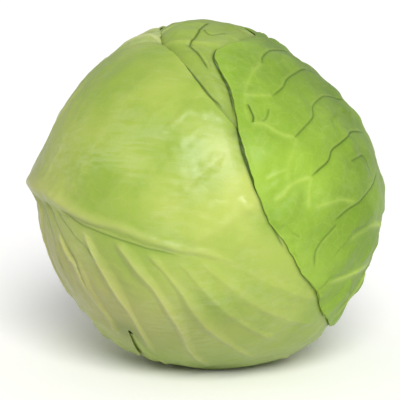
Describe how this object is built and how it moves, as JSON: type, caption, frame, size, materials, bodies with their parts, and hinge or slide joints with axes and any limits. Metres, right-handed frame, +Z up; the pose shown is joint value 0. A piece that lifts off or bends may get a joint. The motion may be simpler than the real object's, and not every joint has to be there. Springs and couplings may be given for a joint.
{
  "type": "green cabbage head",
  "caption": "Round green cabbage head lying on its side, wrapped in smooth ribbed leaves round a packed heart, with a cut stem",
  "frame": {"origin": "on the surface that the head rests on, under the middle of the head", "axes": "+X runs from the cut stem to the crown, +Z is up, and -Y is the side with the raised midrib that faces the viewer"},
  "size_m": [0.1786, 0.1764, 0.1705],
  "materials": {
    "back_leaf": "waxy green leaf",
    "front_leaf": "waxy yellow-green leaf",
    "under_leaf": "waxy green leaf",
    "shoulder_leaf": "waxy pale green leaf",
    "low_leaf": "waxy pale green leaf",
    "top_leaf": "waxy green leaf",
    "heart": "packed pale leaves",
    "stem": "cut fibrous stalk"
  },
  "bodies": {
    "root": {"back_leaf": "back_leaf", "front_leaf": "front_leaf", "under_leaf": "under_leaf", "shoulder_leaf": "shoulder_leaf", "low_leaf": "low_leaf", "top_leaf": "top_leaf", "heart": "heart", "stem": "stem"}
  },
  "joints": []
}
